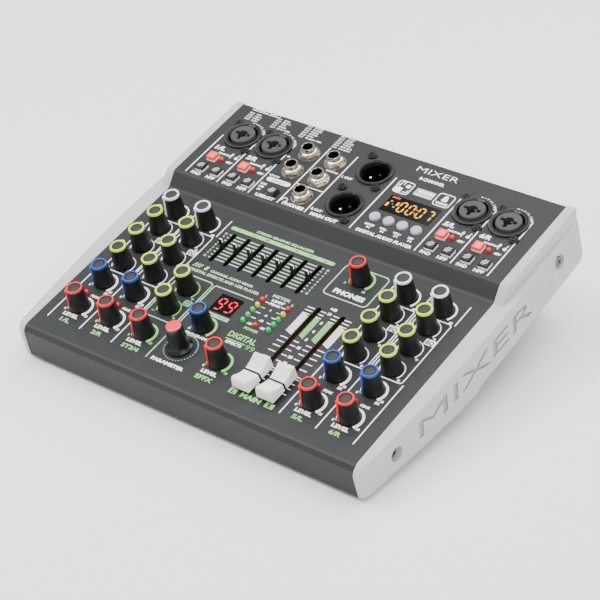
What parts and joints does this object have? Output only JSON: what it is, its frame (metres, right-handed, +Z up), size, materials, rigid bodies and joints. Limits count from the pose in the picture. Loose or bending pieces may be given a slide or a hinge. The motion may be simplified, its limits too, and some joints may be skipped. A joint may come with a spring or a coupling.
{
  "type": "mixing console",
  "caption": "Compact desktop mixing console: sloping steel deck with rotary and sliding controls, combo inputs, line jacks, balanced outputs and light end cheeks.",
  "frame": {"origin": "centre of the bounding box's bottom, on the desk under the feet", "axes": "+X to the operator's right, +Y to the rear, +Z up; the deck slopes up towards +Y by 12 degrees"},
  "size_m": [0.2744, 0.2238, 0.0836],
  "materials": {
    "chassis_steel": "satin charcoal powder coat with a fine grain",
    "cheek_plastic": "moulded light grey plastic, fine spark texture",
    "knob_plastic": "matte black moulding with a coloured cap ring",
    "encoder_plastic": "gloss black moulding",
    "fader_cap_plastic": "satin white moulding",
    "slider_plastic": "satin black moulding",
    "phantom_button_plastic": "translucent red moulding",
    "push_button_plastic": "smoked moulding with a diagonal hatch",
    "player_key_plastic": "soft satin grey rubber",
    "board_assembly": "fibreglass circuit board with its soldered parts",
    "switch_plastic": "gloss black moulding"
  },
  "bodies": {
    "chassis": {"top_panel": "chassis_steel", "base_pan": "chassis_steel", "cheek_left": "cheek_plastic", "cheek_right": "cheek_plastic", "main_board": "board_assembly"},
    "ch1_gain_knob": {"ch1_gain_knob": "knob_plastic"},
    "ch1_eq_high_knob": {"ch1_eq_high_knob": "knob_plastic"},
    "ch1_eq_mid_knob": {"ch1_eq_mid_knob": "knob_plastic"},
    "ch1_eq_low_knob": {"ch1_eq_low_knob": "knob_plastic"},
    "ch1_fx_knob": {"ch1_fx_knob": "knob_plastic"},
    "ch1_level_knob": {"ch1_level_knob": "knob_plastic"},
    "ch2_gain_knob": {"ch2_gain_knob": "knob_plastic"},
    "ch2_eq_high_knob": {"ch2_eq_high_knob": "knob_plastic"},
    "ch2_eq_mid_knob": {"ch2_eq_mid_knob": "knob_plastic"},
    "ch2_eq_low_knob": {"ch2_eq_low_knob": "knob_plastic"},
    "ch2_fx_knob": {"ch2_fx_knob": "knob_plastic"},
    "ch2_level_knob": {"ch2_level_knob": "knob_plastic"},
    "ch5_gain_knob": {"ch5_gain_knob": "knob_plastic"},
    "ch5_eq_high_knob": {"ch5_eq_high_knob": "knob_plastic"},
    "ch5_eq_mid_knob": {"ch5_eq_mid_knob": "knob_plastic"},
    "ch5_eq_low_knob": {"ch5_eq_low_knob": "knob_plastic"},
    "ch5_fx_knob": {"ch5_fx_knob": "knob_plastic"},
    "ch5_level_knob": {"ch5_level_knob": "knob_plastic"},
    "ch6_gain_knob": {"ch6_gain_knob": "knob_plastic"},
    "ch6_eq_high_knob": {"ch6_eq_high_knob": "knob_plastic"},
    "ch6_eq_mid_knob": {"ch6_eq_mid_knob": "knob_plastic"},
    "ch6_eq_low_knob": {"ch6_eq_low_knob": "knob_plastic"},
    "ch6_fx_knob": {"ch6_fx_knob": "knob_plastic"},
    "ch6_level_knob": {"ch6_level_knob": "knob_plastic"},
    "ch3_4_eq_high_knob": {"ch3_4_eq_high_knob": "knob_plastic"},
    "ch3_4_eq_low_knob": {"ch3_4_eq_low_knob": "knob_plastic"},
    "ch3_4_level_knob": {"ch3_4_level_knob": "knob_plastic"},
    "fx_program_knob": {"fx_program_knob": "knob_plastic"},
    "fx_parameter_knob": {"fx_parameter_knob": "encoder_plastic"},
    "fx_level_knob": {"fx_level_knob": "knob_plastic"},
    "phones_level_knob": {"phones_level_knob": "knob_plastic"},
    "main_fader_left": {"main_fader_left": "fader_cap_plastic"},
    "main_fader_right": {"main_fader_right": "fader_cap_plastic"},
    "graphic_eq_slider_1": {"graphic_eq_slider_1": "slider_plastic"},
    "graphic_eq_slider_2": {"graphic_eq_slider_2": "slider_plastic"},
    "graphic_eq_slider_3": {"graphic_eq_slider_3": "slider_plastic"},
    "graphic_eq_slider_4": {"graphic_eq_slider_4": "slider_plastic"},
    "graphic_eq_slider_5": {"graphic_eq_slider_5": "slider_plastic"},
    "graphic_eq_slider_6": {"graphic_eq_slider_6": "slider_plastic"},
    "graphic_eq_slider_7": {"graphic_eq_slider_7": "slider_plastic"},
    "ch1_phantom_button": {"ch1_phantom_button": "phantom_button_plastic"},
    "ch1_pad_button": {"ch1_pad_button": "push_button_plastic"},
    "ch1_hpf_button": {"ch1_hpf_button": "push_button_plastic"},
    "ch2_phantom_button": {"ch2_phantom_button": "phantom_button_plastic"},
    "ch2_pad_button": {"ch2_pad_button": "push_button_plastic"},
    "ch2_hpf_button": {"ch2_hpf_button": "push_button_plastic"},
    "ch5_phantom_button": {"ch5_phantom_button": "phantom_button_plastic"},
    "ch5_pad_button": {"ch5_pad_button": "push_button_plastic"},
    "ch5_hpf_button": {"ch5_hpf_button": "push_button_plastic"},
    "ch6_phantom_button": {"ch6_phantom_button": "phantom_button_plastic"},
    "ch6_pad_button": {"ch6_pad_button": "push_button_plastic"},
    "ch6_hpf_button": {"ch6_hpf_button": "push_button_plastic"},
    "usb_input_button": {"usb_input_button": "push_button_plastic"},
    "player_key_strip": {"player_key_strip": "player_key_plastic"},
    "power_switch": {"power_switch": "switch_plastic"}
  },
  "joints": [
    {"name": "ch1_gain_knob_turn", "type": "hinge", "parent": "chassis", "child": "ch1_gain_knob", "pos_m": [-0.1035, 0.01103, 0.05159], "axis": [0, 0.2079, -0.9781], "range_deg": [0, 300]},
    {"name": "ch1_eq_high_knob_turn", "type": "hinge", "parent": "chassis", "child": "ch1_eq_high_knob", "pos_m": [-0.1035, -0.00531, 0.04812], "axis": [0, 0.2079, -0.9781], "range_deg": [-150, 150]},
    {"name": "ch1_eq_mid_knob_turn", "type": "hinge", "parent": "chassis", "child": "ch1_eq_mid_knob", "pos_m": [-0.1035, -0.02331, 0.0443], "axis": [0, 0.2079, -0.9781], "range_deg": [-150, 150]},
    {"name": "ch1_eq_low_knob_turn", "type": "hinge", "parent": "chassis", "child": "ch1_eq_low_knob", "pos_m": [-0.1035, -0.0413, 0.04047], "axis": [0, 0.2079, -0.9781], "range_deg": [-150, 150]},
    {"name": "ch1_fx_knob_turn", "type": "hinge", "parent": "chassis", "child": "ch1_fx_knob", "pos_m": [-0.1035, -0.0593, 0.03664], "axis": [0, 0.2079, -0.9781], "range_deg": [0, 300]},
    {"name": "ch1_level_knob_turn", "type": "hinge", "parent": "chassis", "child": "ch1_level_knob", "pos_m": [-0.1035, -0.08239, 0.03174], "axis": [0, 0.2079, -0.9781], "range_deg": [0, 300]},
    {"name": "ch2_gain_knob_turn", "type": "hinge", "parent": "chassis", "child": "ch2_gain_knob", "pos_m": [-0.0775, 0.01103, 0.05159], "axis": [0, 0.2079, -0.9781], "range_deg": [0, 300]},
    {"name": "ch2_eq_high_knob_turn", "type": "hinge", "parent": "chassis", "child": "ch2_eq_high_knob", "pos_m": [-0.0775, -0.00531, 0.04812], "axis": [0, 0.2079, -0.9781], "range_deg": [-150, 150]},
    {"name": "ch2_eq_mid_knob_turn", "type": "hinge", "parent": "chassis", "child": "ch2_eq_mid_knob", "pos_m": [-0.0775, -0.02331, 0.0443], "axis": [0, 0.2079, -0.9781], "range_deg": [-150, 150]},
    {"name": "ch2_eq_low_knob_turn", "type": "hinge", "parent": "chassis", "child": "ch2_eq_low_knob", "pos_m": [-0.0775, -0.0413, 0.04047], "axis": [0, 0.2079, -0.9781], "range_deg": [-150, 150]},
    {"name": "ch2_fx_knob_turn", "type": "hinge", "parent": "chassis", "child": "ch2_fx_knob", "pos_m": [-0.0775, -0.0593, 0.03664], "axis": [0, 0.2079, -0.9781], "range_deg": [0, 300]},
    {"name": "ch2_level_knob_turn", "type": "hinge", "parent": "chassis", "child": "ch2_level_knob", "pos_m": [-0.0775, -0.08239, 0.03174], "axis": [0, 0.2079, -0.9781], "range_deg": [0, 300]},
    {"name": "ch5_gain_knob_turn", "type": "hinge", "parent": "chassis", "child": "ch5_gain_knob", "pos_m": [0.076, 0.01103, 0.05159], "axis": [0, 0.2079, -0.9781], "range_deg": [0, 300]},
    {"name": "ch5_eq_high_knob_turn", "type": "hinge", "parent": "chassis", "child": "ch5_eq_high_knob", "pos_m": [0.076, -0.00531, 0.04812], "axis": [0, 0.2079, -0.9781], "range_deg": [-150, 150]},
    {"name": "ch5_eq_mid_knob_turn", "type": "hinge", "parent": "chassis", "child": "ch5_eq_mid_knob", "pos_m": [0.076, -0.02331, 0.0443], "axis": [0, 0.2079, -0.9781], "range_deg": [-150, 150]},
    {"name": "ch5_eq_low_knob_turn", "type": "hinge", "parent": "chassis", "child": "ch5_eq_low_knob", "pos_m": [0.076, -0.0413, 0.04047], "axis": [0, 0.2079, -0.9781], "range_deg": [-150, 150]},
    {"name": "ch5_fx_knob_turn", "type": "hinge", "parent": "chassis", "child": "ch5_fx_knob", "pos_m": [0.076, -0.0593, 0.03664], "axis": [0, 0.2079, -0.9781], "range_deg": [0, 300]},
    {"name": "ch5_level_knob_turn", "type": "hinge", "parent": "chassis", "child": "ch5_level_knob", "pos_m": [0.076, -0.08239, 0.03174], "axis": [0, 0.2079, -0.9781], "range_deg": [0, 300]},
    {"name": "ch6_gain_knob_turn", "type": "hinge", "parent": "chassis", "child": "ch6_gain_knob", "pos_m": [0.102, 0.01103, 0.05159], "axis": [0, 0.2079, -0.9781], "range_deg": [0, 300]},
    {"name": "ch6_eq_high_knob_turn", "type": "hinge", "parent": "chassis", "child": "ch6_eq_high_knob", "pos_m": [0.102, -0.00531, 0.04812], "axis": [0, 0.2079, -0.9781], "range_deg": [-150, 150]},
    {"name": "ch6_eq_mid_knob_turn", "type": "hinge", "parent": "chassis", "child": "ch6_eq_mid_knob", "pos_m": [0.102, -0.02331, 0.0443], "axis": [0, 0.2079, -0.9781], "range_deg": [-150, 150]},
    {"name": "ch6_eq_low_knob_turn", "type": "hinge", "parent": "chassis", "child": "ch6_eq_low_knob", "pos_m": [0.102, -0.0413, 0.04047], "axis": [0, 0.2079, -0.9781], "range_deg": [-150, 150]},
    {"name": "ch6_fx_knob_turn", "type": "hinge", "parent": "chassis", "child": "ch6_fx_knob", "pos_m": [0.102, -0.0593, 0.03664], "axis": [0, 0.2079, -0.9781], "range_deg": [0, 300]},
    {"name": "ch6_level_knob_turn", "type": "hinge", "parent": "chassis", "child": "ch6_level_knob", "pos_m": [0.102, -0.08239, 0.03174], "axis": [0, 0.2079, -0.9781], "range_deg": [0, 300]},
    {"name": "ch3_4_eq_high_knob_turn", "type": "hinge", "parent": "chassis", "child": "ch3_4_eq_high_knob", "pos_m": [-0.051, -0.0413, 0.04047], "axis": [0, 0.2079, -0.9781], "range_deg": [-150, 150]},
    {"name": "ch3_4_eq_low_knob_turn", "type": "hinge", "parent": "chassis", "child": "ch3_4_eq_low_knob", "pos_m": [-0.051, -0.0593, 0.03664], "axis": [0, 0.2079, -0.9781], "range_deg": [-150, 150]},
    {"name": "ch3_4_level_knob_turn", "type": "hinge", "parent": "chassis", "child": "ch3_4_level_knob", "pos_m": [-0.051, -0.08239, 0.03174], "axis": [0, 0.2079, -0.9781], "range_deg": [0, 300]},
    {"name": "fx_program_knob_turn", "type": "hinge", "parent": "chassis", "child": "fx_program_knob", "pos_m": [-0.021, -0.06233, 0.036], "axis": [0, 0.2079, -0.9781], "range_deg": [0, 300]},
    {"name": "fx_parameter_knob_turn", "type": "hinge", "parent": "chassis", "child": "fx_parameter_knob", "pos_m": [-0.023, -0.08239, 0.03174], "axis": [0, 0.2079, -0.9781], "continuous": true},
    {"name": "fx_level_knob_turn", "type": "hinge", "parent": "chassis", "child": "fx_level_knob", "pos_m": [0.0065, -0.08141, 0.03195], "axis": [0, 0.2079, -0.9781], "range_deg": [0, 300]},
    {"name": "phones_level_knob_turn", "type": "hinge", "parent": "chassis", "child": "phones_level_knob", "pos_m": [0.043, 0.01103, 0.05159], "axis": [0, 0.2079, -0.9781], "range_deg": [0, 300]},
    {"name": "main_fader_left_slide", "type": "slide", "parent": "chassis", "child": "main_fader_left", "axis": [0, 0.9781, 0.2079], "range_m": [0, 0.06]},
    {"name": "main_fader_right_slide", "type": "slide", "parent": "chassis", "child": "main_fader_right", "axis": [0, 0.9781, 0.2079], "range_m": [0, 0.06]},
    {"name": "graphic_eq_slider_1_slide", "type": "slide", "parent": "chassis", "child": "graphic_eq_slider_1", "axis": [0, 0.9781, 0.2079], "range_m": [-0.01, 0.01]},
    {"name": "graphic_eq_slider_2_slide", "type": "slide", "parent": "chassis", "child": "graphic_eq_slider_2", "axis": [0, 0.9781, 0.2079], "range_m": [-0.01, 0.01]},
    {"name": "graphic_eq_slider_3_slide", "type": "slide", "parent": "chassis", "child": "graphic_eq_slider_3", "axis": [0, 0.9781, 0.2079], "range_m": [-0.01, 0.01]},
    {"name": "graphic_eq_slider_4_slide", "type": "slide", "parent": "chassis", "child": "graphic_eq_slider_4", "axis": [0, 0.9781, 0.2079], "range_m": [-0.01, 0.01]},
    {"name": "graphic_eq_slider_5_slide", "type": "slide", "parent": "chassis", "child": "graphic_eq_slider_5", "axis": [0, 0.9781, 0.2079], "range_m": [-0.01, 0.01]},
    {"name": "graphic_eq_slider_6_slide", "type": "slide", "parent": "chassis", "child": "graphic_eq_slider_6", "axis": [0, 0.9781, 0.2079], "range_m": [-0.01, 0.01]},
    {"name": "graphic_eq_slider_7_slide", "type": "slide", "parent": "chassis", "child": "graphic_eq_slider_7", "axis": [0, 0.9781, 0.2079], "range_m": [-0.01, 0.01]},
    {"name": "ch1_phantom_button_press", "type": "slide", "parent": "chassis", "child": "ch1_phantom_button", "axis": [0, 0.2079, -0.9781], "range_m": [0, 0.002], "stiffness_N_per_m": 400},
    {"name": "ch1_pad_button_press", "type": "slide", "parent": "chassis", "child": "ch1_pad_button", "axis": [0, 0.2079, -0.9781], "range_m": [0, 0.002], "stiffness_N_per_m": 400},
    {"name": "ch1_hpf_button_press", "type": "slide", "parent": "chassis", "child": "ch1_hpf_button", "axis": [0, 0.2079, -0.9781], "range_m": [0, 0.002], "stiffness_N_per_m": 400},
    {"name": "ch2_phantom_button_press", "type": "slide", "parent": "chassis", "child": "ch2_phantom_button", "axis": [0, 0.2079, -0.9781], "range_m": [0, 0.002], "stiffness_N_per_m": 400},
    {"name": "ch2_pad_button_press", "type": "slide", "parent": "chassis", "child": "ch2_pad_button", "axis": [0, 0.2079, -0.9781], "range_m": [0, 0.002], "stiffness_N_per_m": 400},
    {"name": "ch2_hpf_button_press", "type": "slide", "parent": "chassis", "child": "ch2_hpf_button", "axis": [0, 0.2079, -0.9781], "range_m": [0, 0.002], "stiffness_N_per_m": 400},
    {"name": "ch5_phantom_button_press", "type": "slide", "parent": "chassis", "child": "ch5_phantom_button", "axis": [0, 0.2079, -0.9781], "range_m": [0, 0.002], "stiffness_N_per_m": 400},
    {"name": "ch5_pad_button_press", "type": "slide", "parent": "chassis", "child": "ch5_pad_button", "axis": [0, 0.2079, -0.9781], "range_m": [0, 0.002], "stiffness_N_per_m": 400},
    {"name": "ch5_hpf_button_press", "type": "slide", "parent": "chassis", "child": "ch5_hpf_button", "axis": [0, 0.2079, -0.9781], "range_m": [0, 0.002], "stiffness_N_per_m": 400},
    {"name": "ch6_phantom_button_press", "type": "slide", "parent": "chassis", "child": "ch6_phantom_button", "axis": [0, 0.2079, -0.9781], "range_m": [0, 0.002], "stiffness_N_per_m": 400},
    {"name": "ch6_pad_button_press", "type": "slide", "parent": "chassis", "child": "ch6_pad_button", "axis": [0, 0.2079, -0.9781], "range_m": [0, 0.002], "stiffness_N_per_m": 400},
    {"name": "ch6_hpf_button_press", "type": "slide", "parent": "chassis", "child": "ch6_hpf_button", "axis": [0, 0.2079, -0.9781], "range_m": [0, 0.002], "stiffness_N_per_m": 400},
    {"name": "usb_input_button_press", "type": "slide", "parent": "chassis", "child": "usb_input_button", "axis": [0, 0.2079, -0.9781], "range_m": [0, 0.002], "stiffness_N_per_m": 400},
    {"name": "player_key_strip_press", "type": "slide", "parent": "chassis", "child": "player_key_strip", "axis": [0, 0.2079, -0.9781], "range_m": [0, 0.0007], "stiffness_N_per_m": 900},
    {"name": "power_switch_rock", "type": "hinge", "parent": "chassis", "child": "power_switch", "pos_m": [-0.084, 0.10797, 0.042], "axis": [-1, 0, 0], "range_deg": [0, 12]}
  ]
}
